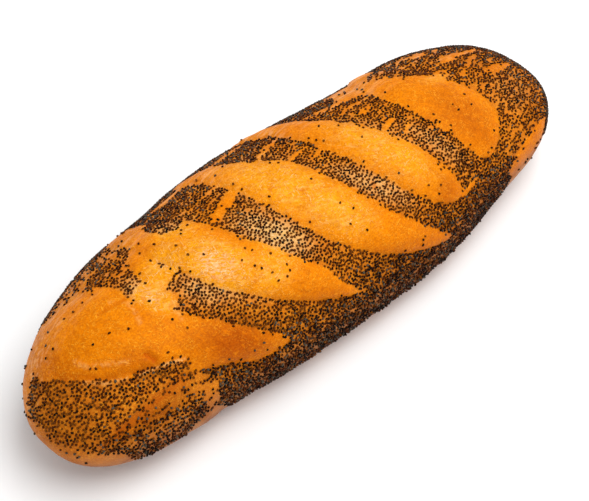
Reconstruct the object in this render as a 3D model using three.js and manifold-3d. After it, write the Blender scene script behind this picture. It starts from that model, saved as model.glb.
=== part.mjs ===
// A long oval poppy seed loaf: one solid, in millimetres, +Z up, standing on its flat base.
// The loaf lies along X. Its broad, high end is at -X, and the front flank faces -Y.
// The crust is a sphere whose poles are the two ends, moved onto the loaf's form by one function.

import * as THREE from 'three';
import { MeshSurfaceSampler } from 'three/addons/math/MeshSurfaceSampler.js';
import { mergeVertices } from 'three/addons/utils/BufferGeometryUtils.js';
import Module from 'manifold-3d';

const wasm = await Module();
wasm.setup();

// ---------------------------------------------------------------- driving dimensions

const LENGTH = 300;
const WIDTH = 98;
const HEIGHT = 66;

// Share of the height at which the loaf is widest, and how far the underside curves in below it.
const WAIST = 0.4;
const UNDERCUT = 1.25;
const BASE_ROUNDING = 2;

// Plan and height close towards the two ends as superellipses. A larger power is a blunter end.
const PLAN_POWER = { near: 2.75, far: 3.7, root: 2.4 };
const CROWN_POWER = { near: 3.4, far: 2.3, root: 1.85 };
const SECTION_POWER = 0.93;
const UNDERSIDE_POWER = 2 / 3;

// The loaf isn't straight: it bows to the back, one end is a little lower and the ends turn apart.
const BOW = 4;
const SKEW = -9;
const CROWN_FALL = -0.06;

// Gentle waists and bulges of the two flanks: where each lies on X, how far out, how long.
// They and the pillows work out from the core and fade where the plan closes.
const FRONT_WAVES = [
  { at: -81, out: -2.8, reach: 26 },
  { at: 88, out: -3.5, reach: 26 },
  { at: 16, out: 2, reach: 45 },
];
const BACK_WAVES = [
  { at: -60, out: -1.8, reach: 24 },
  { at: 60, out: -1.7, reach: 24 },
  { at: -8, out: 1.6, reach: 30 },
  { at: 112, out: 0.9, reach: 25 },
];
const CORE_RADIUS = 8;
const END_FADE = 1.2;

// The five slashes that opened in the oven. Girth angles run from 0 on the crest to 90 on the front
// flank and -90 on the back one. Each slash crosses the crest at x, leans towards +X as it comes down
// the front (mm for each 10 degrees), bends by hook and curl, and its opened dough swells in a pillow.
const SLASHES = [
  { x: -113.6, lean: 3.4, hook: 0.28, curl: 0.04, wide: 40, front: 79, back: -56, belly: 0, blunt: 2.5 },
  { x: -60, lean: 3, hook: 0.2, curl: 0.03, wide: 30, front: 80, back: -53, belly: 0.1, blunt: 1.8 },
  { x: -9.7, lean: 2.45, hook: -0.13, curl: 0.06, wide: 30, front: 88, back: -53, belly: 0.1, blunt: 2.1 },
  { x: 33, lean: 3.1, hook: -0.18, curl: 0.03, wide: 28, front: 65, back: -60, belly: 0.34, blunt: 2.2 },
  { x: 83, lean: 2.3, hook: -0.1, curl: -0.05, wide: 35, front: 53, back: -62, belly: 0.2, blunt: 1.8 },
];
const SWELL = 2.4;
const SWELL_END_POWER = 4;
const SKIN_SINK = 0.8;
const SINK_REACH = 0.2;

// Poppy seeds at their real size, pressed into the skin that the slashes left.
const SEED_SIZE = new THREE.Vector3(1.25, 0.95, 0.85);
const SEED_COUNT = 200;
const SEED_TRIES = 14;
const SEED_RISE = 0.12;
const SEED_SIDES = 5;
const SEED_RINGS = 3;

// Below this height the crust is a bare brown rim. It is low along the middle of the loaf, higher
// round the two ends and highest on the front of the far end.
const RIM = { middle: 13, ends: 10, farFront: 16 };
const RIM_ENDS = { from: 90, to: 125 };
const RIM_FAR_FRONT = { at: 112, reach: 24 };

const SEGMENTS_AROUND = 44;
const SEGMENTS_ALONG = 64;

// ---------------------------------------------------------------- the loaf's form

const radians = THREE.MathUtils.degToRad;
const clamp = THREE.MathUtils.clamp;

function signedPower(value, power) {
  return Math.sign(value) * Math.abs(value) ** power;
}

// A share of 1 in the middle of the loaf that closes to 0 at its ends.
function closing(station, powers) {
  const power = station < 0 ? powers.near : powers.far;
  return Math.max(0, 1 - Math.abs(station) ** power) ** (1 / powers.root);
}

function wave(x, waves) {
  return waves.reduce((sum, w) => sum + w.out * Math.exp(-(((x - w.at) / w.reach) ** 2)), 0);
}

// Where a point lies in one slash: across is -1 and 1 at its edges, along is -1 and 1 at its tips.
function placeInSlash(x, girth, slash) {
  const along = (2 * girth - slash.front - slash.back) / (slash.front - slash.back);
  const tens = girth / 10;
  const middle = slash.x + slash.lean * tens + slash.hook * tens ** 2 + slash.curl * tens ** 3;
  const shifted = clamp(along - slash.belly * (1 - along * along), -1, 1);
  const halfWidth = (slash.wide / 2) * Math.sqrt(1 - Math.abs(shifted) ** slash.blunt);
  const across = Math.abs(along) < 1 ? (x - middle) / Math.max(halfWidth, 0.01) : Infinity;
  return { across, along };
}

function inSlash(x, girth) {
  return SLASHES.some((slash) => Math.abs(placeInSlash(x, girth, slash).across) < 1);
}

// The opened dough of a slash stands up as a pillow, and the skin between two slashes lies lower.
function pillow(x, girth) {
  let rise = 0;
  for (const slash of SLASHES) {
    const { across, along } = placeInSlash(x, girth, slash);
    if (Math.abs(across) < 1) {
      rise = Math.max(rise, SWELL * (1 - across * across) * (1 - along ** SWELL_END_POWER));
    }
  }
  return rise - SKIN_SINK * clamp(Math.cos(radians(girth)) + SINK_REACH, 0, 1);
}

// A point of the crust. The station is -1 and 1 at the loaf's ends.
function crustPoint(station, girth) {
  const x = (LENGTH / 2) * station;
  const side = Math.sin(radians(girth));
  const up = Math.cos(radians(girth));
  const plan = closing(station, PLAN_POWER);
  const crown = closing(station, CROWN_POWER);
  const waist = WAIST * HEIGHT;

  let y = -(WIDTH / 2) * plan * signedPower(side, SECTION_POWER);
  let z = (HEIGHT * (1 + CROWN_FALL * station) - waist) * crown * Math.abs(up) ** SECTION_POWER;
  if (up < 0) {
    z = -UNDERCUT * waist * crown * Math.abs(up) ** UNDERSIDE_POWER;
  }

  const flank = side > 0 ? wave(x, FRONT_WAVES) * side : -wave(x, BACK_WAVES) * side;
  const out = (flank + pillow(x, girth)) * Math.min(1, END_FADE * plan);
  const stretch = 1 + out / Math.max(Math.hypot(y, z), CORE_RADIUS);
  y = y * stretch + BOW * (1 - station ** 2) + SKEW * (station - station ** 3);
  z = waist + z * stretch;
  return new THREE.Vector3(x, y, restOnBase(z));
}

// The underside is flat where it lay in the oven, with a rounded edge.
function restOnBase(z) {
  if (z > BASE_ROUNDING) return z;
  if (z < -BASE_ROUNDING) return 0;
  return (z + BASE_ROUNDING) ** 2 / (4 * BASE_ROUNDING);
}

// ---------------------------------------------------------------- crust

// Fewer of the segments lie under the loaf, where it is flat.
const WALL_SHARE = 0.86;
const WALL_ANGLE = 136;

function girthOf(turn) {
  const share = Math.abs(turn);
  const wall = Math.min(share, WALL_SHARE) / WALL_SHARE;
  const under = Math.max(0, share - WALL_SHARE) / (1 - WALL_SHARE);
  return Math.sign(turn) * (WALL_ANGLE * wall + (180 - WALL_ANGLE) * under);
}

// A sphere's own height is the station, and its uv keeps station and girth angle for the seeds.
function makeCrust() {
  const crust = new THREE.SphereGeometry(1, SEGMENTS_AROUND, SEGMENTS_ALONG);
  const position = crust.attributes.position;
  const uv = crust.attributes.uv;
  for (let i = 0; i < position.count; i += 1) {
    const station = position.getY(i);
    const girth = girthOf(2 * uv.getX(i) - 1);
    const point = crustPoint(station, girth);
    position.setXYZ(i, point.x, point.y, point.z);
    uv.setXY(i, station, girth);
  }
  return crust;
}

function makeSolid(geometry) {
  const bare = geometry.clone();
  bare.deleteAttribute('normal');
  bare.deleteAttribute('uv');
  const merged = mergeVertices(bare, 1e-4);
  const solid = new wasm.Mesh({
    numProp: 3,
    vertProperties: new Float32Array(merged.attributes.position.array),
    triVerts: new Uint32Array(merged.index.array),
  });
  return new wasm.Manifold(solid);
}

// ---------------------------------------------------------------- poppy seeds

// A seeded draw of numbers from 0 to 1, the same on every run.
function makeRandom(seed) {
  let state = seed;
  return () => {
    state = (Math.imul(state, 1664525) + 1013904223) >>> 0;
    return state / 2 ** 32;
  };
}

function rimHeight(x, girth) {
  const ends = THREE.MathUtils.smoothstep(Math.abs(x), RIM_ENDS.from, RIM_ENDS.to);
  const farFront = girth > 0 ? Math.exp(-(((x - RIM_FAR_FRONT.at) / RIM_FAR_FRONT.reach) ** 2)) : 0;
  return RIM.middle + RIM.ends * ends + RIM.farFront * farFront;
}

// The skin above the rim holds seeds wherever no slash has opened it.
function holdsSeeds(station, girth, height) {
  const x = (LENGTH / 2) * station;
  return height > rimHeight(x, girth) && !inSlash(x, girth);
}

// Each next seed is the one of several random places that lies furthest from all seeds before it.
function placeSeeds(crust) {
  const random = makeRandom(20);
  const sampler = new MeshSurfaceSampler(new THREE.Mesh(crust)).setRandomGenerator(random).build();
  const places = [];
  while (places.length < SEED_COUNT) {
    let best = null;
    let tries = 0;
    while (tries < SEED_TRIES) {
      const point = new THREE.Vector3();
      const normal = new THREE.Vector3();
      const uv = new THREE.Vector2();
      sampler.sample(point, normal, undefined, uv);
      if (holdsSeeds(uv.x, uv.y, point.z)) {
        const gap = Math.min(LENGTH, ...places.map((place) => place.point.distanceTo(point)));
        if (best === null || gap > best.gap) {
          best = { point, normal, gap, turn: 2 * Math.PI * random() };
        }
        tries += 1;
      }
    }
    places.push(best);
  }
  return places;
}

// A seed lies flat on the skin, a little more than half of it standing out.
function makeSeed(place) {
  const seed = new THREE.SphereGeometry(0.5, SEED_SIDES, SEED_RINGS).rotateX(Math.PI / 2);
  seed.scale(SEED_SIZE.x, SEED_SIZE.y, SEED_SIZE.z);
  seed.rotateZ(place.turn);
  const lie = new THREE.Quaternion().setFromUnitVectors(new THREE.Vector3(0, 0, 1), place.normal);
  seed.applyQuaternion(lie);
  const centre = place.point.clone().addScaledVector(place.normal, SEED_RISE);
  seed.translate(centre.x, centre.y, centre.z);
  return makeSolid(seed);
}

// ---------------------------------------------------------------- the loaf

function makeLoafGeometry() {
  const crust = makeCrust();
  crust.computeVertexNormals();
  let solid = makeSolid(crust);
  for (const place of placeSeeds(crust)) {
    solid = solid.add(makeSeed(place));
  }
  const mesh = solid.getMesh();
  const geometry = new THREE.BufferGeometry();
  geometry.setAttribute('position', new THREE.BufferAttribute(mesh.vertProperties, 3));
  geometry.setIndex(new THREE.BufferAttribute(mesh.triVerts, 1));

  // The middle of the box stands over the origin, and the base stays at z = 0.
  geometry.computeBoundingBox();
  const middle = geometry.boundingBox.getCenter(new THREE.Vector3());
  geometry.translate(-middle.x, -middle.y, 0);
  geometry.computeVertexNormals();
  return geometry;
}

const crustMaterial = new THREE.MeshStandardMaterial({
  color: 0xe08a1c,
  roughness: 0.45,
  metalness: 0,
});

const loaf = new THREE.Mesh(makeLoafGeometry(), crustMaterial);
loaf.name = 'loaf';

const loafGroup = new THREE.Group();
loafGroup.add(loaf);

export default loafGroup;
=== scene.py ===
# %% [markdown]
# # A long poppy seed loaf
# A white loaf about 300 mm long: rolled in poppy seeds, slashed five times on the slant, glazed and
# baked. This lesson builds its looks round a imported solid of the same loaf. The solid is the frame:
# it fixes the place and the size, and everything here is made in that same frame. Sizes are worked
# out in millimetres and turned to metres where a mesh gets its vertices.

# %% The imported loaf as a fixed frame
import math

import bmesh
import bpy
import numpy as np
from mathutils import Matrix, Vector, noise


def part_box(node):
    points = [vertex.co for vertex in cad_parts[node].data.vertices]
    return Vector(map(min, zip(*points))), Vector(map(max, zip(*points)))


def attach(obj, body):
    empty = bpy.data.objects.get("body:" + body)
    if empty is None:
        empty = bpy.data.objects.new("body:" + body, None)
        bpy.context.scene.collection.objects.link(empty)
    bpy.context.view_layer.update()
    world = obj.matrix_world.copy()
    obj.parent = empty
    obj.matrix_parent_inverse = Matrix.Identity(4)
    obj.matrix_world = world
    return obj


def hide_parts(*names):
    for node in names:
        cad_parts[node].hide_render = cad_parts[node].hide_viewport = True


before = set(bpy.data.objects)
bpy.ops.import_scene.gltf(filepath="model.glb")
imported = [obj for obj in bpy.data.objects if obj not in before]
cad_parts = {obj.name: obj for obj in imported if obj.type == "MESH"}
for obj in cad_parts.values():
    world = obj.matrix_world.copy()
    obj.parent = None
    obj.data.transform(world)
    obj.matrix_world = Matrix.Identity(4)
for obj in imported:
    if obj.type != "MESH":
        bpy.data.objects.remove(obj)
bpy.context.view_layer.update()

MM = 0.001
box_low, box_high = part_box("loaf")
print("solid loaf, mm:", [round(size / MM, 1) for size in box_high - box_low])

# %% [markdown]
# ## The loaf's form
# A baker shapes such a loaf by rolling, so it is nearly a sausage: widest in the middle, closing to
# blunt ends, flat where it lay in the oven. It could be sculpted by hand, but a formula of station
# and girth angle keeps every size a number that can be read and changed. Station runs from -1 at the
# near end to 1 at the far one. The girth angle is 0 on the crest, 90 on the front flank, -90 on the
# back one and 180 underneath. The sizes are those of the solid.

# %% Length, width, height and how the ends close
LENGTH = (box_high.x - box_low.x) / MM
WIDTH = 98             # of the skin, before the flanks bulge
HEIGHT = 66            # of the skin, before the dough rises in the slashes
# The higher the power, the blunter the end.
PLAN_POWER = {"near": 2.75, "far": 3.7, "root": 2.4}
CROWN_POWER = {"near": 3.4, "far": 2.3, "root": 1.85}


def closing(station, powers):
    """A share of 1 in the middle of the loaf that closes to 0 at its ends."""
    power = np.where(station < 0, powers["near"], powers["far"])
    return np.maximum(0, 1 - np.abs(station) ** power) ** (1 / powers["root"])


print("width halfway to each end, mm:", (WIDTH * closing(np.array([-0.5, 0.5]), PLAN_POWER)).round(1))

# %% [markdown]
# ## Waists and bulges
# A rolled loaf is never even: its flanks swell or draw in by a few millimetres. Proportional editing
# by hand would do it. A sum of soft bumps along each flank is easier to match to the photo, because
# each bump has a place, a height and a reach.

# %% Waists and bulges of the flanks
FRONT_WAVES = [(-81, -2.8, 26), (88, -3.5, 26), (16, 2, 45)]     # x, outwards and reach, in mm
BACK_WAVES = [(-60, -1.8, 24), (60, -1.7, 24), (-8, 1.6, 30), (112, 0.9, 25)]


def wave(x, waves):
    """How far a flank stands out at x, in mm."""
    return sum(out * np.exp(-(((x - at) / reach) ** 2)) for at, out, reach in waves)


print("front flank at the near waist, the middle and the far waist, mm:",
      wave(np.array([-81, 16, 88]), FRONT_WAVES).round(1))

# %% [markdown]
# ## The slashes
# Five cuts run over the crest on the slant. In the oven each one opened into a leaning lens, and the
# dough inside it rose above the seeded skin. They could be cut with Boolean knives, but the opened
# dough is one skin with the rest. So each is a middle line that bends as it comes round the girth,
# and a width that closes at both tips.

# %% The five slashes
SLASH_KEYS = ("x", "lean", "hook", "curl", "wide", "front", "back", "belly", "blunt")
SLASHES = [dict(zip(SLASH_KEYS, row)) for row in (
    (-113.6, 3.4, 0.28, 0.03, 40, 80, -56, 0, 2.5),
    (-60, 3, 0.2, 0.03, 30, 80, -53, 0.1, 1.8),
    (-10.2, 2.45, -0.13, 0.06, 31, 88, -53, 0.1, 2.1),
    (31, 3.1, -0.18, 0.03, 26.5, 66, -60, 0.34, 2.2),
    (81.3, 2.3, -0.1, -0.05, 35, 58, -62, 0.2, 1.8),
)]


def place_in_slash(x, girth, slash):
    """Distance from the slash's middle line and its half width there, in mm, and -1 to 1 from tip
    to tip. Its tips are at the front and back girth angles."""
    along = (2 * girth - slash["front"] - slash["back"]) / (slash["front"] - slash["back"])
    tens = girth / 10
    middle = slash["x"] + slash["lean"] * tens + slash["hook"] * tens**2 + slash["curl"] * tens**3
    shifted = np.clip(along - slash["belly"] * (1 - along * along), -1, 1)
    half_width = slash["wide"] / 2 * np.sqrt(1 - np.abs(shifted) ** slash["blunt"])
    return np.abs(x - middle), half_width, along


print("width of each slash on the crest, mm:",
      [round(float(2 * place_in_slash(0, 0, slash)[1]), 1) for slash in SLASHES])

# %% [markdown]
# ## The pillows in the slashes
# The dough in a slash had no dry skin to hold it, so it rose in a pillow. A sculpted bulge or an
# inflated patch would leave a seam to hide. Here the pillow is part of the form, a dome across the
# slash that stays high almost to the tips, while the skin between the slashes lies a little lower.

# %% How far the dough rises
SWELL = 2.4            # height of a pillow, mm
SWELL_END_POWER = 4    # the higher, the nearer to the tips it stays high
SKIN_SINK = 0.8        # how much lower the crest's skin lies, mm
SINK_REACH = 0.2       # and how far past the flanks it still does, as a cosine


def pillow(x, girth):
    """How far the opened dough stands above the skin, in mm."""
    rise = np.zeros_like(x)
    for slash in SLASHES:
        away, half_width, along = place_in_slash(x, girth, slash)
        across = away / np.maximum(half_width, 0.01)
        dome = SWELL * (1 - across**2) * (1 - along**SWELL_END_POWER)
        rise = np.maximum(rise, np.where((across < 1) & (np.abs(along) < 1), dome, 0))
    return rise - SKIN_SINK * np.clip(np.cos(np.radians(girth)) + SINK_REACH, 0, 1)


print("in the third slash and in the skin beside it, mm:", pillow(np.array([-10.0, 14.0]), 0).round(2))

# %% [markdown]
# ## From station and girth angle to a point
# Half of the loaf lies above its waist and half below, and each half has its own curve. The lower
# one would reach under the floor, and is pressed flat there, as the oven floor pressed the dough.
# The loaf is bowed as well, and its halves lie a little askew. All of it is one function, so that
# the crust, the seeds and the solid can't drift apart.

# %% A point of the crust
WAIST = 0.4            # share of the height at which the loaf is widest
UNDERCUT = 1.25        # depth of the lower half, in heights of the waist, before it is pressed flat
BASE_ROUNDING = 2      # of the flat base's edge, mm
SECTION_POWER = 0.93     # below 1, a section is squarer than an ellipse
UNDERSIDE_POWER = 2 / 3
CROWN_FALL = -0.06     # share by which the crown falls to the far end and rises to the near one
BOW = 4                # how far the middle lies to the back, mm
SKEW = -9              # the halves lie to opposite sides by up to 0.38 of this, mm
CORE_RADIUS = 8        # nothing nearer than this to the loaf's middle line is pushed outwards, mm
END_FADE = 1.2         # bulges fade out where the plan closes


def rest_on_base(z):
    """Flat underneath, with a rounded edge."""
    edge = (z + BASE_ROUNDING) ** 2 / (4 * BASE_ROUNDING)
    return np.where(z > BASE_ROUNDING, z, np.where(z < -BASE_ROUNDING, 0, edge))


def crust_point(station, girth):
    """Points of the crust in mm."""
    x = LENGTH / 2 * station
    side, up = np.sin(np.radians(girth)), np.cos(np.radians(girth))
    plan, crown = closing(station, PLAN_POWER), closing(station, CROWN_POWER)
    waist = WAIST * HEIGHT
    y = -WIDTH / 2 * plan * np.sign(side) * np.abs(side) ** SECTION_POWER
    over = (HEIGHT * (1 + CROWN_FALL * station) - waist) * crown * np.abs(up) ** SECTION_POWER
    under = -UNDERCUT * waist * crown * np.abs(up) ** UNDERSIDE_POWER
    z = np.where(up < 0, under, over)
    flank = np.where(side > 0, wave(x, FRONT_WAVES), wave(x, BACK_WAVES)) * np.abs(side)
    out = (flank + pillow(x, girth)) * np.minimum(1, END_FADE * plan)
    stretch = 1 + out / np.maximum(np.hypot(y, z), CORE_RADIUS)
    y = y * stretch + BOW * (1 - station**2) + SKEW * (station - station**3)
    return np.stack([x, y, rest_on_base(waist + z * stretch)], axis=-1)


print("middle of the crest, mm:", crust_point(np.array([0.0]), np.array([0.0]))[0].round(1))

# %% [markdown]
# ## Noise in millimetres
# Dough tears, wrinkles and browns without a plan. A texture on a displace modifier could roughen it,
# but plain noise read in code can also decide where a seed lies. Its lumps have a size in
# millimetres, and may be drawn out along the loaf, the way the dough stretched.

# %% Noise and soft steps
def noise_over(points, size, shift=0.0, stretch=1.0):
    """Smooth noise from -1 to 1 over points in mm. Its lumps are `size` mm wide, and longer along X."""
    scaled = points / (size * np.array([stretch, 1, 1])) + shift
    return np.array([noise.noise(Vector(point)) for point in scaled])


def layered_noise(points, layers):
    """A sum of noises. Each layer is a height in mm and the settings of its noise."""
    return sum(height * noise_over(points, **settings) for height, settings in layers)


def smooth_step(value, low, high):
    """From 0 at low to 1 at high, with soft ends."""
    t = np.clip((value - low) / (high - low), 0, 1)
    return t * t * (3 - 2 * t)


row = np.array([[x, 0.5, 0.5] for x in (0, 5, 10)])
print("noise along 10 mm of the loaf:", noise_over(row, 4.5).round(2))

# %% [markdown]
# ## Where the skin still is
# The seeds sit on the old skin: two caps, both flanks, and a band between each two slashes. The
# larger islands of skin and the tears are placed one by one, as leaning ovals, where the photo has
# them. They could be painted as a mask, but ovals need no image and read the same on any mesh.
# Depths are in mm, positive inside the skin and negative outside.

# %% Islands and tears
GIRTH_MM = 0.84        # length of one degree of girth in the middle of the loaf

# Ovals: x, girth angle, half length and half width in mm, and the turn from X towards the front.
ISLANDS = [
    (-105, 44, 12, 3.6, 36),
    (-59, -22, 9.5, 7.5, 90),
    (86, -26, 17, 8.5, 38),
    (49, -3, 7, 4.5, 0),
    (52, 8, 6, 2.2, -25),
    (44, -13, 9, 2.8, -10),
    (40, -24, 13, 3.0, 0),
    (11, -24, 4, 2.0, 60),
    (-74, 17, 5.5, 6.5, 0),
    (-14, 66, 15, 3.2, 59),
    (-12, -32, 11, 4.5, 63),
    (-2, -17, 4, 3, 45),
]
TEARS = [
    (-80, -8, 16, 5.5, 102),
    (-84, 3, 13, 4.6, 0),
    (-87, 14, 7, 5, 0),
    (-134, -62, 16, 20, 0),
    (-102.6, -18.6, 16, 5, 66),
    (-71, -50, 7, 14, 0),
    (-66, 74, 13, 4.5, 24),
    (-35, -7.7, 15, 2.7, -20),
    (-33, -21, 6, 1.0, -8),
    (-44, -45, 20, 1.8, 5),
    (-5, -46, 16, 1.8, -12),
    (3, -24.5, 9, 1.9, -14),
    (8, -9, 9, 1.0, -8),
    (14, -3, 5, 0.8, -12),
    (6, 6, 4, 0.9, -14),
    (41, -31, 13, 1.9, 2),
    (47, -19, 12, 0.9, -2),
    (49, -11.5, 5, 1.6, -8),
    (50, 3.5, 6, 1.2, -14),
    (55, 11, 6, 1.3, -26),
    (57, -33, 9, 7, 20),
    (70, -30, 8, 1.6, 0),
    (82, -36.5, 9, 1.9, -50),
    (83.5, -26, 6, 1.2, -50),
    (91, -31.5, 7, 1.0, -4),
    (105, -41, 14, 3.6, 0),
    (119, -23, 16, 3.4, -9),
    (118, -9, 7, 1.3, -35),
    (108, -2.3, 8, 1.0, 0),
    (96, -8, 8, 3.4, -10),
    (128, 5, 10, 3.8, 0),
    (60, -46, 10, 6, 0),
    (60, 65, 7, 2.0, -10),
    (110, 81, 20, 9, -18),
    (-93, 103, 10, 8, 0),
]


def oval_depth(x, girth, oval):
    """How far inside a leaning oval a point lies, in mm."""
    at, angle, half_long, half_wide, turn = oval
    u, v = x - at, (girth - angle) * GIRTH_MM
    c, s = math.cos(math.radians(turn)), math.sin(math.radians(turn))
    share = np.hypot((u * c + v * s) / half_long, (v * c - u * s) / half_wide)
    return (1 - share) * min(half_long, half_wide)


def skin_depth(x, girth):
    """How far inside the seeded skin a point lies, before its edges are torn."""
    opened = np.full_like(x, -1e3)
    for slash in SLASHES:
        away, half_width, along = place_in_slash(x, girth, slash)
        past_tip = (np.abs(along) - 1) * (slash["front"] - slash["back"]) / 2 * GIRTH_MM
        opened = np.maximum(opened, np.where(past_tip < 0, half_width - away, -away - past_tip))
    skin = -opened
    for island in ISLANDS:
        skin = np.maximum(skin, oval_depth(x, girth, island))
    for tear in TEARS:
        skin = np.minimum(skin, -oval_depth(x, girth, tear))
    return skin


print("skin depth along the crest, mm:", skin_depth(np.arange(-120.0, 121, 40), 0.0).round(1))

# %% [markdown]
# ## Torn edges
# The skin tore as the loaf swelled, so its edges wander by a millimetre or two, and on the back in
# long streaks. Drawing each edge by hand would take thousands of points. Noise added to the depth
# moves the edge just as well.

# %% How far an edge wanders
# Layers of noise: how far they reach in mm, and their settings.
EDGE_NOISE = [(0.9, dict(size=4.5, stretch=1.6)), (0.8, dict(size=1.7, shift=9, stretch=1.6))]
STREAK_NOISE = dict(size=2.6, shift=5, stretch=5)
STREAK_REACH = 2.4     # of the streaks on the back, mm
FAR_STREAK_REACH = 1.5     # this much more on the back at the far end
TORN_BACK = (0, 35)        # degrees past the crest, where the streaks set in
FAR_TORN_BACK = (-5, 20)
FAR_TORN_X = (70, 100)     # mm


def torn(points, girth):
    """How far the torn edge wanders: finely everywhere, and in long streaks down the back."""
    back = smooth_step(-girth, *TORN_BACK)
    far_back = smooth_step(-girth, *FAR_TORN_BACK) * smooth_step(points[:, 0], *FAR_TORN_X)
    reach = STREAK_REACH * back + FAR_STREAK_REACH * far_back
    return layered_noise(points, EDGE_NOISE) + reach * noise_over(points, **STREAK_NOISE)


edge = crust_point(np.linspace(0.1, 0.15, 4), np.zeros(4))
print("along 7 mm of an edge it wanders, mm:", torn(edge, np.zeros(4)).round(2))

# %% [markdown]
# ## Folds and fine relief
# At the near end the skin folded as it slid. Each ridge or groove is a line with a rounded profile.
# Besides them there is the step at the torn edge, the lumps of dough, and long striations on the
# stretched back. All of it could be bump in the material, but real relief also shows on the outline
# and in the exported mesh.

# %% Folds of the skin
# Points of a line in x and girth angle, height in mm (a groove is negative) and width in mm.
FOLDS = [
    ([(-113, 37.5), (-107, 39.5), (-101, 43), (-95.5, 47)], 0.6, 0.8),
    ([(-134, -4), (-129, 8), (-125, 19), (-120, 27), (-112, 35), (-106, 38.5)], -0.5, 1.2),
    ([(-137, 72), (-127, 63), (-112, 59), (-99, 58)], -0.7, 3.2),
    ([(-106.5, 29), (-105, 35.5)], -1.6, 0.9),
    ([(-108, -6), (-100, -2.5), (-96, -2)], -0.6, 1.0),
    ([(-101.5, -6), (-97, 1), (-97.5, 6), (-100, 14)], 0.2, 0.8),
    ([(-82.5, 15), (-84.5, 20), (-86, 27.5)], 0.2, 0.8),
    ([(-127, -0.5), (-125.5, 8), (-119.5, 17.5), (-113.5, 25.5)], 0.2, 0.8),
    ([(-129.5, 13), (-123.5, 27), (-117, 33)], 0.3, 0.9),
]


def fold_relief(x, girth):
    """Height of the folds and grooves in mm, each a rounded ridge along its line."""
    relief = np.zeros_like(x)
    for line, height, width in FOLDS:
        nearest = np.full_like(x, 1e3)
        for (x0, g0), (x1, g1) in zip(line, line[1:]):
            du, dv = x1 - x0, (g1 - g0) * GIRTH_MM
            u, v = x - x0, (girth - g0) * GIRTH_MM
            t = np.clip((u * du + v * dv) / (du * du + dv * dv), 0, 1)
            nearest = np.minimum(nearest, np.hypot(u - t * du, v - t * dv))
        relief += height * np.exp(-((nearest / width) ** 2))
    return relief


print("on the first fold and 2 mm off it, mm:", fold_relief(np.array([-107.0, -105.0]), 39.5).round(2))

# %% Everything smaller than the pillows
SEED_STAND = 0.55      # the skin lies this much deeper, so that the loaf's outline is that of its seeds
EDGE_SOFTNESS = 0.8    # the step from skin to opened dough is twice this wide, mm
GROOVE_DEPTH = 0.35    # of the crease along a torn edge, mm
GROOVE_WIDTH = 1.3
DOUGH_NOISE = [(0.4, dict(size=26, shift=2)), (0.2, dict(size=9, shift=7)), (0.1, dict(size=3.2, shift=1))]
STRIATIONS = [(0.25, dict(size=2.4, shift=4, stretch=8))]
STRIATED_BACK = (5, 35)     # degrees past the crest, where the striations set in


def fine_relief(points, x, girth, skin):
    """The step and crease at torn edges, lumps, striations and folds, in mm outwards."""
    sunk = -SEED_STAND * smooth_step(skin, -EDGE_SOFTNESS, EDGE_SOFTNESS)
    crease = -GROOVE_DEPTH * np.exp(-(((skin + EDGE_SOFTNESS) / GROOVE_WIDTH) ** 2))
    striations = smooth_step(-girth, *STRIATED_BACK) * layered_noise(points, STRIATIONS)
    return sunk + crease + layered_noise(points, DOUGH_NOISE) + striations + fold_relief(x, girth)


step = fine_relief(edge, edge[:, 0], np.zeros(4), np.array([-3.0, -1, 0, 3]))
print("relief from opened dough to skin, mm:", step.round(2))

# %% [markdown]
# ## Browned and pale crust, with painted shade and highlight
# The oven browned the loaf unevenly. Where a slash opened last the crust is thin and pale, and where
# it opened first, or stood out towards the heat, it is deeper. The browned patches also hold painted
# shade on the near end and the front flank, which turn from the light, and the pale ones a painted
# highlight on the crest. These patches could be painted by hand. As soft ovals, each with its
# strength, they can be read and changed, and the mesh carries them to the material.

# %% Browned patches with painted shade, pale patches with painted highlight
# Ovals as for the tears, each with its strength.
# Browned: real browning, and painted shade on the near end and the front flank.
BROWNED_AND_SHADE = [
    ((-74, 58, 26, 15, 50), 1.0),
    ((-142, 30, 22, 50, 0), 0.35),
    ((-118, 68, 26, 14, 0), 0.7),
    ((-134, -15, 10, 30, 0), 0.5),
    ((-112, 28, 16, 8, 45), 0.5),
    ((-28, 66, 18, 7, 45), 0.35),
    ((20, 74, 26, 9, 30), 0.5),
    ((48, 55, 9, 10, 40), 0.6),
    ((84, 28, 14, 28, 0), 0.6),
    ((-8, 35, 2.5, 3.5, 60), 0.8),
    ((60, 85, 80, 20, 0), 0.35),
    ((125, 30, 20, 60, 0), 0.3),
]
# Pale: paler thin crust, and a painted highlight where the crest faces the light.
PALE_AND_HIGHLIGHT = [
    ((-60, 17, 19, 13, 75), 1.0),
    ((-88, 6, 15, 7, 80), 0.85),
    ((-74, 0, 16, 11, 0), 0.6),
    ((-44, 34, 12, 15, 60), 0.5),
    ((-60, -12, 12, 12, 0), 0.5),
    ((-10, 2, 34, 18, 70), 0.5),
    ((-3, 28, 20, 13, 60), 0.65),
    ((37, 14, 30, 15, 72), 0.5),
    ((-31, 20, 19, 10, 65), 1.0),
    ((20, 28, 22, 7, 65), 0.6),
    ((60, 28, 22, 7, 75), 0.35),
    ((-70, 22, 14, 8, 60), 0.5),
    ((122, 28, 18, 20, 0), 0.12),
    ((92, -6, 10, 5, 0), 0.35),
]
PATCH_EDGE = (-0.3, 0.9)     # a patch fades in between these depths, in its half widths


def tone_map(x, girth, patches):
    """The strongest of a list of soft oval patches, 0 to 1."""
    tone = np.zeros_like(x)
    for oval, strength in patches:
        inside = oval_depth(x, girth, oval) / min(oval[2], oval[3])
        tone = np.maximum(tone, strength * smooth_step(inside, *PATCH_EDGE))
    return tone


print("pale along the crest:", tone_map(np.arange(-120.0, 121, 40), 0.0, PALE_AND_HIGHLIGHT).round(2))

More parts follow.
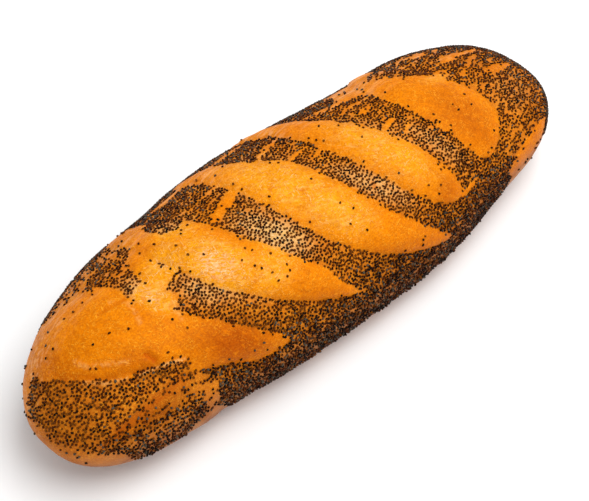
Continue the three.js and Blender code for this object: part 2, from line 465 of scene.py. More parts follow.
# %% [markdown]
# ## The crust
# The crust is one closed skin. A subdivision surface would need its edges led along every slash. A
# UV sphere with its poles at the loaf's ends already has the right grain: rings across the loaf and
# lines along it. Each vertex is moved onto the form, then in or out by the fine relief. Few lines
# run under the flat base, where there is nothing to see.

# %% Rings along the loaf and lines round it
AROUND = 290
ALONG = 336
WALL_SHARE = 0.9       # this share of the lines lies above the base
WALL_ANGLE = 136       # which starts at this girth angle


def station_of(share):
    """Rings evenly along the loaf that crowd together only at its ends, for -1 to 1."""
    return share * (1 + (1 - share**6) / 6)


def girth_of(turn):
    """Girth angle in degrees from -1 to 1 of a turn, with few lines under the base."""
    size = np.abs(turn)
    wall = np.minimum(size, WALL_SHARE) / WALL_SHARE
    under = np.maximum(0, size - WALL_SHARE) / (1 - WALL_SHARE)
    return np.sign(turn) * (WALL_ANGLE * wall + (180 - WALL_ANGLE) * under)


print("girth angle at 1/8, 1/2 and all of the way down:", girth_of(np.array([0.125, 0.5, 1])).round(1))

# %% From a sphere to the loaf
FREE_OF_FLOOR = (0.5, 6)     # fine relief fades in between these heights, mm
# The back tone sets in here: pale streaks, and a pinkish painted sheen.
STREAKED_BACK = (8, 40)      # degrees past the crest, where pale streaks set in
# The ridge tone is a painted highlight on the folds; this gain makes even low ridges take it fully.
RIDGE_GAIN = 1.5             # the low ridges still catch full light


def shape_crust(bm):
    """Move a sphere's vertices onto the loaf. Returns what the looks need to know at each of them."""
    ball = np.array([vert.co for vert in bm.verts])
    station = station_of(1 - 2 * np.arccos(np.clip(ball[:, 2], -1, 1)) / math.pi)
    girth = girth_of(np.arctan2(ball[:, 1], ball[:, 0]) / math.pi)
    x = LENGTH / 2 * station
    points = crust_point(station, girth)
    skin = skin_depth(x, girth) + torn(points, girth)

    core = np.stack([x, BOW * (1 - station**2), np.full_like(x, WAIST * HEIGHT)], axis=-1)
    outward = points - core
    outward[:, 0] = 0
    outward /= np.maximum(np.linalg.norm(outward, axis=1), 1)[:, None]
    free = smooth_step(points[:, 2], *FREE_OF_FLOOR)
    free *= np.minimum(1, END_FADE * closing(station, PLAN_POWER))
    points = points + outward * (fine_relief(points, x, girth, skin) * free)[:, None]
    points[:, 1] -= (points[:, 1].min() + points[:, 1].max()) / 2
    for vert, point in zip(bm.verts, points):
        vert.co = Vector(point) * MM

    folds = fold_relief(x, girth)
    return {
        "skin": smooth_step(skin, -EDGE_SOFTNESS, EDGE_SOFTNESS),
        "girth": girth,
        # The browned tone also carries painted shade, and the pale tone a painted highlight.
        "browned_and_shade": tone_map(x, girth, BROWNED_AND_SHADE),
        "pale_and_highlight": tone_map(x, girth, PALE_AND_HIGHLIGHT),
        "back": smooth_step(-girth, *STREAKED_BACK),
        # ridge and groove drive a painted highlight and painted shade on the folds
        "ridge": np.clip(RIDGE_GAIN * folds, 0, 1),
        "groove": np.clip(-folds, 0, 1),
    }


def add_to_scene(name, data):
    """An object at the origin for a mesh, a light or a camera."""
    made = bpy.data.objects.new(name, data)
    bpy.context.scene.collection.objects.link(made)
    return made


bm = bmesh.new()
bmesh.ops.create_uvsphere(bm, u_segments=AROUND, v_segments=ALONG, radius=1)
values = shape_crust(bm)
if bm.calc_volume(signed=True) < 0:
    bmesh.ops.reverse_faces(bm, faces=bm.faces)
for face in bm.faces:
    face.smooth = True
crust_mesh = bpy.data.meshes.new("baked_crust")
bm.to_mesh(crust_mesh)
bm.free()
for name, value in values.items():
    carried = crust_mesh.attributes.new(name, "FLOAT", "POINT")
    carried.data.foreach_set("value", value.astype(np.float32))
crust = add_to_scene("baked_crust", crust_mesh)
print("crust faces:", len(crust_mesh.polygons), "size, mm:", [round(s / MM, 1) for s in crust.dimensions])

# %% [markdown]
# ## One poppy seed
# A poppy seed is a kidney about a millimetre long. It could be sculpted and decimated, but at that
# size a sphere of six sides and four rings, drawn out and bent by moving its tips, shows as much.
# It has only a few dozen faces, because it is repeated thousands of times, and it is a little over
# true size, since so few faces cut off its corners.

# %% The shape of one seed
SEED_MM = (1.3, 1.04, 0.88)
KIDNEY_BEND = 0.16     # how far its tips are bent to one side, mm
SEED_SIDES = 6
SEED_RINGS = 4


def triangles_of(mesh):
    """A mesh's faces as triangles, in one fixed order and split one way. The sphere operator merges
    doubles, and leaves its faces in an order that changes from run to run."""
    triangles = []
    for face in mesh.polygons:
        corners = list(face.vertices)
        lowest = corners.index(min(corners))
        corners = corners[lowest:] + corners[:lowest]
        triangles += [(corners[0], *pair) for pair in zip(corners[1:], corners[2:])]
    return np.array(sorted(triangles))


bm = bmesh.new()
bmesh.ops.create_uvsphere(bm, u_segments=SEED_SIDES, v_segments=SEED_RINGS, radius=0.5)
bmesh.ops.rotate(bm, verts=bm.verts, matrix=Matrix.Rotation(math.pi / 2, 3, "Y"))
bmesh.ops.scale(bm, verts=bm.verts, vec=SEED_MM)
for vert in bm.verts:
    vert.co.y += KIDNEY_BEND * (2 * vert.co.x / SEED_MM[0]) ** 2
seed_verts = np.array([vert.co for vert in bm.verts])
seed_mesh = bpy.data.meshes.new("one_seed")
bm.to_mesh(seed_mesh)
bm.free()
seed_tris = triangles_of(seed_mesh)
bpy.data.meshes.remove(seed_mesh)
print("one seed:", len(seed_tris), "triangles")

# %% [markdown]
# ## How many seeds lie where
# The seeds cling wherever the skin is: a little over a seed apart on the crest, closer on the
# flanks, and down to a bare rim above the oven floor. Some patches rubbed nearly bare, and a few
# seeds strayed onto the opened dough. A weight map for a particle system could say this, but
# instances are lost in an exported model. So the rules are functions, asked about each place.

# %% Cover, rim and crowding
# Places with other cover: oval in x and girth, and the share of the skin that is free of bare lanes.
# Later ones lie on top.
COVER = 0.98
COVER_EDGE = (0, 0.4)     # the change at an oval's edge, in its half widths
COVERS = [
    ((-150, 10, 30, 80, 0), 0.7),
    ((-114, 72, 26, 24, 0), 0.5),
    ((-118, 60, 20, 5, -10), 0.3),
    ((-109, 63, 12, 10, 20), 0.08),
    ((-100, -42, 34, 26, 0), 0.15),
    ((-92, -22, 12, 14, 0), 0.65),
    ((-28, 24, 7, 10, 0), 0.7),
    ((122, 20, 28, 60, 0), 0.62),
    ((95, -38, 36, 16, 0), 0.6),
    ((105, 20, 7, 22, 0), 0.4),
    ((128, 40, 4, 4, 0), 0.1),
    ((116, 18, 4, 5, 0), 0.35),
    ((40, -52, 110, 12, 0), 0.4),
    ((0, 88, 92, 19, 0), 0.7),
    ((0, 110, 100, 14, 0), 1.0),
    ((70, 55, 15, 11, 40), 1.0),
    ((106, 68, 20, 14, 0), 0.35),
    ((-94, 65, 7, 11, 0), 0.2),
    ((-90, 82, 5, 14, 0), 0.03),
    ((-98, 86, 4.5, 9, 0), 0.9),
]
# Height of the bare rim in mm, and how much higher it is towards the ends, at them and in one place.
RIM = {"middle": 13, "towards_ends": 5, "near_end": 15, "far_end": 4, "far_front": 19}
TOWARDS_ENDS = (75, 105)     # mm from the middle
AT_ENDS = (120, 143)
FAR_FRONT = (108, 16)        # x and reach in mm
FAR_FRONT_GIRTH = (30, 60)
FRONT_FLANK = (55, 75)     # girth angles between which the crest gives way to the front flank
BACK_FLANK = (15, 45)      # the same on the back, where the change is less
BACK_CHANGE = 0.7


def cover_at(x, girth):
    """Share of the skin that is free of bare lanes."""
    cover = np.full_like(x, COVER)
    for oval, value in COVERS:
        inside = smooth_step(oval_depth(x, girth, oval) / min(oval[2], oval[3]), *COVER_EDGE)
        cover += (value - cover) * inside
    return cover


def rim_height(x, girth):
    """The crust is bare below this height, in mm."""
    at, reach = FAR_FRONT
    rim = RIM["middle"] + RIM["towards_ends"] * smooth_step(np.abs(x), *TOWARDS_ENDS)
    rim += np.where(x < 0, RIM["near_end"], RIM["far_end"]) * smooth_step(np.abs(x), *AT_ENDS)
    return rim + RIM["far_front"] * smooth_step(girth, *FAR_FRONT_GIRTH) * np.exp(-(((x - at) / reach) ** 2))


def crowding(girth):
    """From 0 on the crest to 1 on the front flank."""
    return np.maximum(smooth_step(girth, *FRONT_FLANK), BACK_CHANGE * smooth_step(-girth, *BACK_FLANK))


print("rim along the front, mm:", rim_height(np.arange(-140.0, 141, 40), 90.0).round(1))

# %% [markdown]
# ## Which places take a seed
# Between the seeds the skin shows in narrow lanes, and the seeds themselves lie in winding chains,
# because they slid together as the loaf was rolled. Both come from noise: a lane is where it is low,
# a chain where it is near zero. A little chance blurs each limit, so that nothing looks cut.

# %% Skin, lanes, chains and strays
LANES = dict(size=1.6, shift=6, stretch=2.2)
LANE_LEVEL = 0.42      # the noise must be above this for a seed where the cover is 0
LANE_FALL = 0.9        # and above this much less where the cover is 1
LANE_BLUR = 0.2
CHAINS = dict(size=2.1, shift=2, stretch=2.2)
CHAIN_WIDTH = 0.47     # in units of the noise; on the flanks the chains run together
RIM_NOISE = [(3.5, dict(size=9, shift=3))]
RIM_BLUR = 2           # mm
STRAY = 0.0021         # share of places on bare crust that still take a seed
STRAY_NEAR = 2.5       # so many times more just outside the skin, from where they came
NEAR_SKIN = (-4, -1)   # skin depth in mm
STRAY_NOISE = dict(size=12, shift=8)
STRAY_GROUPS = (0, 0.3)     # levels of that noise where a loose group of them begins and is full
STRAY_FEWEST = 0.4     # share between the groups,
STRAY_GROUPED = 2      # and so much more inside one
STRAY_ABOVE = 20       # mm


def takes_seed(points, girth, random):
    """Which places take a seed."""
    x = points[:, 0]
    skin = skin_depth(x, girth) + torn(points, girth)
    lanes = noise_over(points, **LANES) + random.uniform(-LANE_BLUR, LANE_BLUR, len(x))
    above = points[:, 2] - rim_height(x, girth) + layered_noise(points, RIM_NOISE)
    chains = np.abs(noise_over(points, **CHAINS))
    on_skin = (skin > 0) & (lanes > LANE_LEVEL - LANE_FALL * cover_at(x, girth))
    on_skin &= above > random.uniform(-RIM_BLUR, RIM_BLUR, len(x))
    on_skin &= chains < CHAIN_WIDTH + crowding(girth)
    stray = STRAY * (1 + STRAY_NEAR * smooth_step(skin, *NEAR_SKIN))
    stray *= STRAY_FEWEST + STRAY_GROUPED * smooth_step(noise_over(points, **STRAY_NOISE), *STRAY_GROUPS)
    return on_skin | ((random.uniform(0, 1, len(x)) < stray) & (points[:, 2] > STRAY_ABOVE))


strip = crust_point(np.linspace(0.05, 0.15, 200), np.zeros(200))
print("share of a line over the crest that takes seeds:",
      takes_seed(strip, np.zeros(200), np.random.default_rng(0)).mean().round(2))

# %% [markdown]
# ## Scattering
# The places come from chance, spread evenly by area over the crust's triangles. Then each is taken
# or left in turn, so that no two seeds lie in one another. Poisson discs in geometry nodes would do
# this too, but not with a gap that changes from place to place and is wider across the loaf.

# %% Random places on the crust, and the gaps between them
SEEDED_GIRTH = 128     # no seeds are sought further under the loaf than this girth angle
ACROSS = 1.2           # seeds keep this much further apart across the loaf


def read(layer, field, per_item, kind):
    """A mesh layer as an array."""
    found = np.empty(len(layer) * per_item, dtype=kind)
    layer.foreach_get(field, found)
    return found.reshape(-1, per_item) if per_item > 1 else found


def scatter(mesh, per_mm2, random):
    """Random places on a mesh, spread evenly by area: points in mm, outward directions, girth angles."""
    corners = triangles_of(mesh)
    points = read(mesh.vertices, "co", 3, np.float32).astype(float) / MM
    normals = read(mesh.vertex_normals, "vector", 3, np.float32)
    girth = read(mesh.attributes["girth"].data, "value", 1, np.float32)
    a, b, c = (points[corners[:, i]] for i in range(3))
    area = np.linalg.norm(np.cross(b - a, c - a), axis=1) / 2
    area[np.abs(girth[corners]).max(axis=1) > SEEDED_GIRTH] = 0
    chosen = random.choice(len(area), int(area.sum() * per_mm2), p=area / area.sum())
    weights = random.dirichlet((1, 1, 1), len(chosen))
    at = (points[corners[chosen]] * weights[:, :, None]).sum(axis=1)
    up = (normals[corners[chosen]] * weights[:, :, None]).sum(axis=1)
    up /= np.linalg.norm(up, axis=1)[:, None]
    return at, up, (girth[corners[chosen]] * weights).sum(axis=1)


def spaced(points, gaps):
    """Indices of points, taken in turn, that keep their gap to all those taken before."""
    squeezed = points / (1, ACROSS, ACROSS)
    cells, taken = {}, []
    keys = np.floor(squeezed / gaps.max()).astype(int)
    near = [(i, j, k) for i in (-1, 0, 1) for j in (-1, 0, 1) for k in (-1, 0, 1)]
    for index, (point, gap, key) in enumerate(zip(squeezed.tolist(), gaps.tolist(), keys.tolist())):
        u, v, w = key
        others = [other for i, j, k in near for other in cells.get((u + i, v + j, w + k), ())]
        if all(math.dist(other, point) >= gap for other in others):
            cells.setdefault((u, v, w), []).append(point)
            taken.append(index)
    return taken


row = np.array([[x, 0, 0] for x in range(10)], dtype=float)
print("of ten places 1 mm apart, those kept with a gap of 2.5 mm:", spaced(row, np.full(10, 2.5)))

# %% [markdown]
# ## The seeds on the skin
# The first lot lies on the crust itself, flat side down. The gap is a little smaller where the seeds
# crowd together on the flanks.

# %% First layer
CANDIDATES_PER_MM2 = 5
GAP_ALONG = 0.97       # mm between seed middles along the loaf
GAP_CROWDED = 0.93     # the same on the flanks

random = np.random.default_rng(11)
points, normals, girth = scatter(crust_mesh, CANDIDATES_PER_MM2, random)
wanted = takes_seed(points, girth, random)
points, normals, girth = points[wanted], normals[wanted], girth[wanted]
first = spaced(points, GAP_ALONG + (GAP_CROWDED - GAP_ALONG) * crowding(girth))
points, normals, girth = points[first], normals[first], girth[first]
print("seeds on the skin:", len(points))

# %% [markdown]
# ## Heaped seeds
# Along the flanks the loaf rolled in the seeds, so a second lot lies in the hollows of the first, in
# clumps of a few millimetres. A rigid body simulation would pile them truly, but takes minutes for
# thousands of seeds. Here they sit about half a seed higher, and a little further apart.

# %% Second layer
HEAP_RISE = 0.55       # mm
HEAP_GAP = 1.15        # mm
HEAP_CANDIDATES_PER_MM2 = CANDIDATES_PER_MM2 / 3
CLUMPS = dict(size=4, shift=4)
CLUMP_EDGE = (0, 0.2)     # levels of that noise where a clump begins and is full
HEAP_EDGE = 0.5           # a heap is full this far inside its oval, in its half widths
HEAPS = [              # oval in x and girth, and the share of its places that takes a second seed
    ((0, 88, 94, 20, 0), 0.9),
    ((72, 54, 14, 9, 40), 0.8),
    ((-80, 70, 10, 6, 30), 0.9),
    ((-28, 72, 12, 6, 20), 0.8),
    ((-98, 84, 4, 6, 0), 0.9),
    ((-126, 78, 6, 8, 0), 0.7),
]


def heap_share(points, girth):
    """Share of the places that takes a second seed."""
    x = points[:, 0]
    share = np.zeros_like(x)
    for oval, most in HEAPS:
        inside = np.clip(oval_depth(x, girth, oval) / (HEAP_EDGE * min(oval[2], oval[3])), 0, 1)
        share = np.maximum(share, most * inside)
    return share * smooth_step(noise_over(points, **CLUMPS), *CLUMP_EDGE)


heaped, heaped_normals, heaped_girth = scatter(crust_mesh, HEAP_CANDIDATES_PER_MM2, random)
wanted = random.uniform(0, 1, len(heaped)) < heap_share(heaped, heaped_girth)
wanted &= takes_seed(heaped, heaped_girth, random)
heaped, heaped_normals, heaped_girth = heaped[wanted], heaped_normals[wanted], heaped_girth[wanted]
second = spaced(heaped, np.full(len(heaped), HEAP_GAP))
seed_points = np.concatenate([points, heaped[second] + heaped_normals[second] * HEAP_RISE])
seed_normals = np.concatenate([normals, heaped_normals[second]])
seed_girth = np.concatenate([girth, heaped_girth[second]])
print("seeds in all:", len(seed_points))

# %% [markdown]
# ## Seeds as joined meshes
# Poppy seeds are a mix of slate, black and brown ones. On the crest the photo shows mostly brown
# ones, on the front flank black and on the back slate. So the shares change with place, and they
# also stand in for light: the extra slate on the back and the far cap is painted sheen, and the
# extra black on the front flank painted shade. An instance for each would be lost in the export, so
# each colour is one mesh, made by copying the one seed with arrays. Each seed lies flat side down
# but for a small tilt, is turned at random, and carries a tone of its own.

# %% Copies of the seed
SEED_RISE = 0.27       # middle of a seed above the crust, mm
SEED_TILT = 0.25       # radians
SEED_SPREAD = 0.1      # how much seeds differ in size
SEED_SIZES = (0.8, 1.2)     # and the most that they may


def place_seeds(points, normals, random):
    """Vertices in mm of one seed at each point, each turned and scaled at random."""
    count = len(points)
    up = normals + random.normal(0, SEED_TILT, (count, 3))
    up /= np.linalg.norm(up, axis=1)[:, None]
    along = np.cross(up, random.normal(0, 1, (count, 3)))
    along /= np.linalg.norm(along, axis=1)[:, None]
    turn = np.stack([along, np.cross(up, along), up], axis=-1)
    size = random.normal(1, SEED_SPREAD, (count, 1, 3)).clip(*SEED_SIZES)
    local = seed_verts[None] * size
    return np.einsum("nij,nvj->nvi", turn, local) + (points + normals * SEED_RISE)[:, None]


def make_seeds(name, points, normals, random):
    """One mesh of all the seeds of a kind."""
    placed = place_seeds(points, normals, random)
    count, per_seed = placed.shape[:2]
    faces = (seed_tris[None] + (np.arange(count) * per_seed)[:, None, None]).reshape(-1, 3)
    mesh = bpy.data.meshes.new(name)
    mesh.vertices.add(count * per_seed)
    mesh.vertices.foreach_set("co", (placed * MM).astype(np.float32).ravel())
    mesh.loops.add(len(faces) * 3)
    mesh.loops.foreach_set("vertex_index", faces.astype(np.int32).ravel())
    mesh.polygons.add(len(faces))
    mesh.polygons.foreach_set("loop_start", np.arange(0, len(faces) * 3, 3, dtype=np.int32))
    mesh.update(calc_edges=True)
    mesh.polygons.foreach_set("use_smooth", np.ones(len(faces), dtype=bool))
    tone = mesh.attributes.new("tone", "FLOAT", "POINT")
    tone.data.foreach_set("value", np.repeat(random.uniform(0, 1, count), per_seed).astype(np.float32))
    mesh.validate()
    return add_to_scene(name, mesh)


upright = place_seeds(np.zeros((1, 3)), np.array([[0.0, 0, 1]]), np.random.default_rng(0))[0]
print("a seed placed on level ground, mm:", np.ptp(upright, axis=0).round(2))

# %% Kinds of seed
# The back column has more slate as painted sheen, the front column more black as painted shade.
SEED_KINDS = {         # the share of each kind on the crest, the front flank and the back one
    "slate": (0.02, 0.16, 0.45),
    "black": (0.23, 0.47, 0.25),
    "dark": (0.4, 0.22, 0.15),
    "brown": (0.35, 0.15, 0.15),
}
# Past the far cap the seeds take the back's shares, with their painted sheen.
FAR_CAP = (118, 142)     # x in mm, between which the kinds change to those of the back

on_front = smooth_step(seed_girth, *FRONT_FLANK)
on_back = np.minimum(1 - on_front, BACK_CHANGE * np.maximum(
    smooth_step(-seed_girth, *BACK_FLANK), smooth_step(seed_points[:, 0], *FAR_CAP)))
odds = [(1 - on_front - on_back) * crest + on_front * front + on_back * back
        for crest, front, back in SEED_KINDS.values()]
kind_of_seed = (random.uniform(0, 1, len(seed_points)) > np.cumsum(odds, axis=0)[:-1]).sum(axis=0)
seed_pieces = {}
for index, kind in enumerate(SEED_KINDS):
    mine = kind_of_seed == index
    seed_pieces[kind] = make_seeds(f"{kind}_poppy_seeds", seed_points[mine], seed_normals[mine], random)
    print(kind, "seeds:", mine.sum(), "triangles:", len(seed_pieces[kind].data.polygons))

# %% [markdown]
# ## Colours and nodes
# Materials could be built by hand in the shader editor. In code, colours are written as sRGB hex
# values and turned to linear by one function, and one more function adds a node, sets it and links
# it. Patterns read Object coordinates in metres, so a scale is one over a real size.

# %% Colour and node helpers
def srgb(code):
    """A hex colour as linear red, green, blue and alpha."""
    parts = [int(code[i:i + 2], 16) / 255 for i in (1, 3, 5)]
    return [p / 12.92 if p <= 0.04045 else ((p + 0.055) / 1.055) ** 2.4 for p in parts] + [1]


def add_node(tree, kind, settings=None, inputs=None):
    """Add a shader node. An input is a value, a hex colour, or another node's output to link."""
    node = tree.nodes.new(f"ShaderNode{kind}")
    for name, value in (settings or {}).items():
        setattr(node, name, value)
    for name, value in (inputs or {}).items():
        if isinstance(value, bpy.types.NodeSocket):
            tree.links.new(value, node.inputs[name])
        else:
            node.inputs[name].default_value = srgb(value) if isinstance(value, str) else value
    return node


def new_material(name):
    """An empty node material and its tree."""
    material = bpy.data.materials.new(name)
    material.use_nodes = True
    material.node_tree.nodes.clear()
    return material, material.node_tree


def per_mm(size):
    """The scale of a pattern whose features are `size` mm."""
    return 1 / (size * MM)


print("crust orange in linear light:", [round(part, 3) for part in srgb("#F28A00")])

# %% [markdown]
# ## Fields and layers
# A baked surface is built up like paint: a ground colour, then tone over tone, each where its masks
# from the mesh or from noise let it through. One long chain written node by node would hide that,
# so a list of layers is laid on in a loop.

# %% Noise fields and painted layers
SMOOTH = {"interpolation_type": "SMOOTHSTEP"}
MULTIPLY = {"operation": "MULTIPLY"}
MAXIMUM = {"operation": "MAXIMUM"}
STRENGTH, UNDER, OVER, MIXED = 0, 6, 7, 2     # a Mix node's sockets for colours go by number


def noise_field(tree, size, low, high, detail=2, stretch=1, turn=0, distortion=0):
    """Noise with features of `size` mm, from 0 below `low` to 1 above `high`. It may be drawn out
    `stretch` times along a level line that is turned from X by so many degrees."""
    place = add_node(tree, "TexCoord").outputs["Object"]
    if turn:
        place = add_node(tree, "VectorRotate", {"rotation_type": "Z_AXIS"}, {
            "Vector": place, "Angle": -math.radians(turn)}).outputs["Vector"]
    if stretch != 1:
        place = add_node(tree, "Mapping", {}, {
            "Vector": place, "Scale": (1 / stretch, 1, 1)}).outputs["Vector"]
    value = add_node(tree, "TexNoise", {}, {
        "Vector": place, "Scale": per_mm(size), "Detail": detail, "Distortion": distortion})
    return add_node(tree, "MapRange", SMOOTH, {
        "Value": value.outputs["Fac"], "From Min": low, "From Max": high}).outputs["Result"]


def paint(tree, ground, layers, blend="MIX"):
    """Lay colours over a ground one by one. A layer is its masks, whose product is its strength, and
    its colour."""
    for masks, over in layers:
        strength = masks[0]
        for mask in masks[1:]:
            strength = add_node(tree, "Math", MULTIPLY, {0: strength, 1: mask}).outputs[0]
        ground = add_node(tree, "Mix", {"data_type": "RGBA", "blend_type": blend}, {
            STRENGTH: strength, UNDER: ground, OVER: over}).outputs[MIXED]
    return ground


print("scale of a noise with lumps of 2.4 mm:", round(per_mm(2.4), 1))

# %% [markdown]
# ## Egg-glazed crust
# The crust is white-dough crust brushed with egg. Proteins and sugars browned to a clear golden
# orange: paler where the dough opened last, deeper over the flanks and brown at the oven floor. The
# pale tone also holds a painted highlight on the crest, and the deep one painted shade on the near
# end and the front flank. It could be one colour ramp over noise, but the photo shows several tones
# with reasons of their own, so each is a layer. First come the two grounds: opened dough, and the
# old skin between the seeds.

# %% Opened dough and old skin
crust_paint, tree = new_material("egg_glazed_bread_crust")
skin, browned_and_shade, pale_and_highlight, back, ridge, groove = (
    add_node(tree, "Attribute", {"attribute_name": name}).outputs["Fac"]
    for name in ("skin", "browned_and_shade", "pale_and_highlight", "back", "ridge", "groove"))

# Where the dough opened last it is pale in a hairy pattern: first golden, then peach. The pale tone
# is paler crust and a painted highlight in one.
hairs = noise_field(tree, 0.8, 0.35, 0.65, stretch=2.5, turn=-40)
hairs = add_node(tree, "MapRange", {}, {"Value": hairs, "To Min": 0.6, "To Max": 1.05})
hairy_pale_and_highlight = add_node(tree, "Math", MULTIPLY, {0: pale_and_highlight, 1: hairs.outputs["Result"]}).outputs[0]
golden = add_node(tree, "MapRange", {}, {"Value": hairy_pale_and_highlight, "From Max": 0.45}).outputs["Result"]
peach = add_node(tree, "MapRange", {}, {"Value": hairy_pale_and_highlight, "From Min": 0.6}).outputs["Result"]
opened = paint(tree, "#F28A00", [
    # deeper where browned, and painted shade on the near end and the front flank
    ([browned_and_shade], "#C05A00"),
    # painted sheen: a pinkish tone on the back flank, as of grazing reflections
    ([back, 0.5], "#F0963A"),
    ([golden], "#FFAA14"),
    ([peach], "#FFC48A"),
])
# Old skin: browned with painted shade, and paler with a painted highlight.
old_skin = paint(tree, "#E2841C", [([browned_and_shade], "#9C4A00"), ([pale_and_highlight], "#FFCC80")])
colour = paint(tree, opened, [([skin], old_skin)])
print("nodes for the two grounds:", len(tree.nodes))

# %% [markdown]
# ## Clouds, mottling and grain
# Bubbles and moisture leave clouds a centimetre wide, mottling of a few millimetres, and grain. One
# noise with much detail would have them in a fixed proportion. Three noises let each be as strong
# as the photo shows. Real grain is finer: this is as fine as a pixel shows.

# %% Three sizes of unevenness
clouds = noise_field(tree, 11, 0.35, 0.65, detail=3)
mottle = noise_field(tree, 2.4, 0.3, 0.7)
grain = noise_field(tree, 0.8, 0.3, 0.7, detail=3)
shades = ((0.25, clouds, "#D8C0A0"), (0.42, mottle, "#D8C8A8"), (0.55, grain, "#C8B090"))
for strength, field, shade in shades:
    shade = paint(tree, shade, [([field], "#FFFFFF")])
    colour = paint(tree, colour, [([strength], shade)], "MULTIPLY")
print("nodes with unevenness:", len(tree.nodes))

# %% [markdown]
# ## Fibres of dough
# Kneading draws the dough into threads, which show in the glaze as short pale fibres in all
# directions. Drawn noise at three angles gives them, and the strongest at each place wins. Hair
# strands would be truer, but far too fine for this view. The real ones are finer than these, too.

# %% Fibres
FIBRE_TURNS = (10, 70, 130)     # degrees from X
# Fewer fibres show where the crust is browned and where it carries painted shade.
BROWNED_AND_SHADED_FIBRES = 0.4            # how much of them shows where the crust is browned

fibres = 0
for turn in FIBRE_TURNS:
    fibre = noise_field(tree, 0.55, 0.6, 0.74, detail=1, stretch=5, turn=turn)
    fibres = add_node(tree, "Math", MAXIMUM, {0: fibre, 1: fibres}).outputs[0]
fewer_where_browned_and_shaded = add_node(tree, "MapRange", {}, {
    "Value": browned_and_shade, "To Min": 1, "To Max": BROWNED_AND_SHADED_FIBRES}).outputs["Result"]
for mask in (noise_field(tree, 6, 0.25, 0.6), fewer_where_browned_and_shaded):
    fibres = add_node(tree, "Math", MULTIPLY, {0: fibres, 1: mask}).outputs[0]
# Fibres are paler in the pale patches, which include the painted highlight.
fibre_colour = paint(tree, "#FFAA28", [([pale_and_highlight], "#FFDCA8")])
colour = paint(tree, colour, [([fibres, 0.7], fibre_colour)])
print("nodes with fibres:", len(tree.nodes))

# %% [markdown]
# ## Drawn threads, blotches and folds
# On top lie the marks of this loaf: pale threads where the dough was drawn out, deep veins, a few
# darker blotches and spots, and streaks on the stretched back. The folds of the near end get a painted
# highlight on their ridges and painted shade in their grooves, and the foot of the loaf is brown from
# the oven floor.

# %% Marks on the crust
BROWN_BELOW = 36       # mm: the brown of the foot starts here
BROWN_FULL = 14        # mm: and is full below this

drawn = noise_field(tree, 2.2, 0.5, 0.72, stretch=4, turn=-25, distortion=0.6)
veins = noise_field(tree, 1.8, 0.6, 0.72, detail=1, stretch=5, turn=-60, distortion=0.8)
streaks = noise_field(tree, 1.6, 0.45, 0.75, stretch=9)
place = add_node(tree, "TexCoord").outputs["Object"]
height = add_node(tree, "SeparateXYZ", {}, {"Vector": place}).outputs["Z"]
foot = add_node(tree, "MapRange", SMOOTH, {
    "Value": height, "From Min": BROWN_BELOW * MM, "From Max": BROWN_FULL * MM}).outputs["Result"]
baked = paint(tree, "#8C5434", [([clouds], "#AC7650")])
colour = paint(tree, colour, [
    # pale threads where the dough was drawn out, inside the pale patches with their painted highlight
    ([drawn, pale_and_highlight, 0.55], "#FFC468"),
    ([veins, 0.35], "#F08200"),
    ([noise_field(tree, 7, 0.68, 0.76), 0.6], "#CC6600"),
    ([noise_field(tree, 3, 0.66, 0.76, detail=1), 0.45], "#E07A00"),
    ([back, streaks, 0.5], "#FFC085"),
    # painted highlight along the ridges of the folds
    ([ridge, noise_field(tree, 1.5, 0.35, 0.6)], "#FFC070"),
    # painted shade in the grooves of the folds
    ([groove, 0.6], "#BC5000"),
    ([foot], baked),
])
print("nodes with all marks:", len(tree.nodes))

# %% [markdown]
# ## The glaze
# Egg glaze dries to a thin satin film. It could be a clear coat, but the photo's soft light shows
# hardly a highlight, so it is one layer with little reflection, rougher or smoother with the
# mottling. The grain and the fibres stand up by less than a tenth of a millimetre, which is too
# little for the mesh and is bump.

# %% Gloss and bump of the crust
GRAIN_RISE = 0.06      # mm
FIBRE_RISE = 0.1       # mm

bump = add_node(tree, "Bump", {}, {"Height": grain, "Distance": GRAIN_RISE * MM})
bump = add_node(tree, "Bump", {}, {
    "Height": fibres, "Distance": FIBRE_RISE * MM, "Normal": bump.outputs["Normal"]})
gloss = add_node(tree, "MapRange", {}, {"Value": mottle, "To Min": 0.42, "To Max": 0.55})
shader = add_node(tree, "BsdfPrincipled", {}, {
    "Base Color": colour, "Roughness": gloss.outputs["Result"], "IOR": 1.45,
    "Specular IOR Level": 0.05, "Normal": bump.outputs["Normal"]})
add_node(tree, "OutputMaterial", {}, {"Surface": shader.outputs["BSDF"]})
crust_mesh.materials.append(crust_paint)
print("nodes of the crust:", len(tree.nodes))

# %% [markdown]
# ## Poppy seed coats
# Poppy seeds are slate-blue to black and brown, with a net of ridges far finer than a pixel. The net
# is drawn coarser, as a tone that varies over a third of a millimetre. The ridges could be modelled
# on one seed, but not within a few dozen faces. Each seed has its own tone between a dark and a
# light one, and the coat is dull, with a faint oily glint.

# %% Seed materials
SEED_TONES = {
    "slate": ("#2A241C", "#5C5244"),
    "black": ("#0E0602", "#261208"),
    "dark": ("#361402", "#522406"),
    "brown": ("#4E2204", "#76420E"),
}
NET_RISE = 0.05        # mm


def seed_material(name, dark, light):
    """A dull seed coat between two tones."""
    material, tree = new_material(name)
    tone = add_node(tree, "Attribute", {"attribute_name": "tone"}).outputs["Fac"]
    net = noise_field(tree, 0.35, 0.4, 0.6, detail=1)
    colour = paint(tree, dark, [([tone], light), ([net, 0.5], light)])
    bump = add_node(tree, "Bump", {}, {"Height": net, "Distance": NET_RISE * MM})
    shader = add_node(tree, "BsdfPrincipled", {}, {
        "Base Color": colour, "Roughness": 0.4, "IOR": 1.48,
        "Specular IOR Level": 0.05, "Normal": bump.outputs["Normal"]})
    add_node(tree, "OutputMaterial", {}, {"Surface": shader.outputs["BSDF"]})
    return material


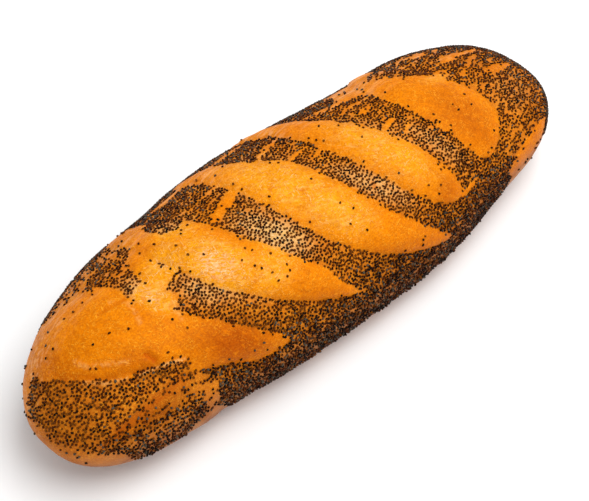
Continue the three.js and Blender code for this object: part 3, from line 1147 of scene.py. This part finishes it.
for kind, (dark, light) in SEED_TONES.items():
    seed_pieces[kind].data.materials.append(seed_material(f"{kind}_poppy_seed_coat", dark, light))
    print("coat:", kind, dark, "to", light)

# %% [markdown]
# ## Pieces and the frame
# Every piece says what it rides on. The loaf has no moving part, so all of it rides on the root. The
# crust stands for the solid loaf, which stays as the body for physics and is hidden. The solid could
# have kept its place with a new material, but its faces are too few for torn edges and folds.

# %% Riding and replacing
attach(crust, "root")
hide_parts("loaf")
for piece in seed_pieces.values():
    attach(piece, "root")
print("pieces on the root:", 1 + len(seed_pieces))

# %% [markdown]
# ## Floor and light
# The photo has a plain white ground and soft light. Three studio lights would give shadows that it
# lacks. One large area light above the front, towards the far end, gives the broad light on the
# crest, and a white world fills the rest. The floor is matt white paper.

# %% Floor and light
FLOOR_SIZE = 6         # metres
LIGHT_PLACE = (0.25, -0.32, 1.1)
LIGHT_TARGET = (0, 0, 0.03)
LIGHT_SIZE = (1.2, 0.8)
LIGHT_WATTS = 11.9
WORLD_STRENGTH = 0.62

bm = bmesh.new()
bmesh.ops.create_grid(bm, x_segments=1, y_segments=1, size=FLOOR_SIZE / 2)
floor_mesh = bpy.data.meshes.new("studio_floor")
bm.to_mesh(floor_mesh)
bm.free()
paper, tree = new_material("matt_white_paper")
shader = add_node(tree, "BsdfPrincipled", {}, {"Base Color": "#FAFAFA", "Roughness": 0.9})
add_node(tree, "OutputMaterial", {}, {"Surface": shader.outputs["BSDF"]})
floor_mesh.materials.append(paper)
add_to_scene("studio_floor", floor_mesh)

softbox = bpy.data.lights.new("top_softbox", "AREA")
softbox.shape = "RECTANGLE"
softbox.size, softbox.size_y = LIGHT_SIZE
softbox.energy = LIGHT_WATTS
light = add_to_scene("top_softbox", softbox)
light.location = LIGHT_PLACE
light.rotation_euler = (Vector(LIGHT_TARGET) - Vector(LIGHT_PLACE)).to_track_quat("-Z", "Y").to_euler()

world = bpy.data.worlds.new("white_studio")
world.use_nodes = True
world.node_tree.nodes["Background"].inputs["Color"].default_value = (1, 1, 1, 1)
world.node_tree.nodes["Background"].inputs["Strength"].default_value = WORLD_STRENGTH
bpy.context.scene.world = world
bpy.context.scene.view_settings.view_transform = "Standard"
print("light:", LIGHT_WATTS, "W over", LIGHT_SIZE, "m")

# %% [markdown]
# ## Camera
# The camera looks down at 50 degrees over the near end and the front flank, from 0.66 m away. It
# could be placed by eye. Here its place and lens come from matching the loaf's outline with the
# photo's, and the loaf sits a little off the middle of the picture.

# %% Camera
AZIMUTH = math.radians(-45.78)
ELEVATION = math.radians(49.84)
DISTANCE = 0.66        # metres
ROLL = math.radians(0.38)
LENS = 90.93           # mm
SENSOR = 36            # mm
AIM_HEIGHT = 30        # mm
AIM_SIDE = 2.43        # mm
AIM_DOWN = 10.47       # mm

out_level = Vector((math.sin(AZIMUTH), -math.cos(AZIMUTH), 0))
backwards = out_level * math.cos(ELEVATION) + Vector((0, 0, math.sin(ELEVATION)))
right = Vector((math.cos(AZIMUTH), math.sin(AZIMUTH), 0))
up = backwards.cross(right)
right, up = right * math.cos(ROLL) - up * math.sin(ROLL), up * math.cos(ROLL) + right * math.sin(ROLL)
aim = (Vector((0, 0, AIM_HEIGHT)) - AIM_SIDE * right - AIM_DOWN * up) * MM
lens = bpy.data.cameras.new("photo_camera")
lens.lens = LENS
lens.sensor_width = SENSOR
camera = add_to_scene("photo_camera", lens)
camera.matrix_world = Matrix((right, up, backwards)).transposed().to_4x4()
camera.location = aim + DISTANCE * backwards
bpy.context.scene.camera = camera
print("camera at, m:", [round(part, 3) for part in camera.location])
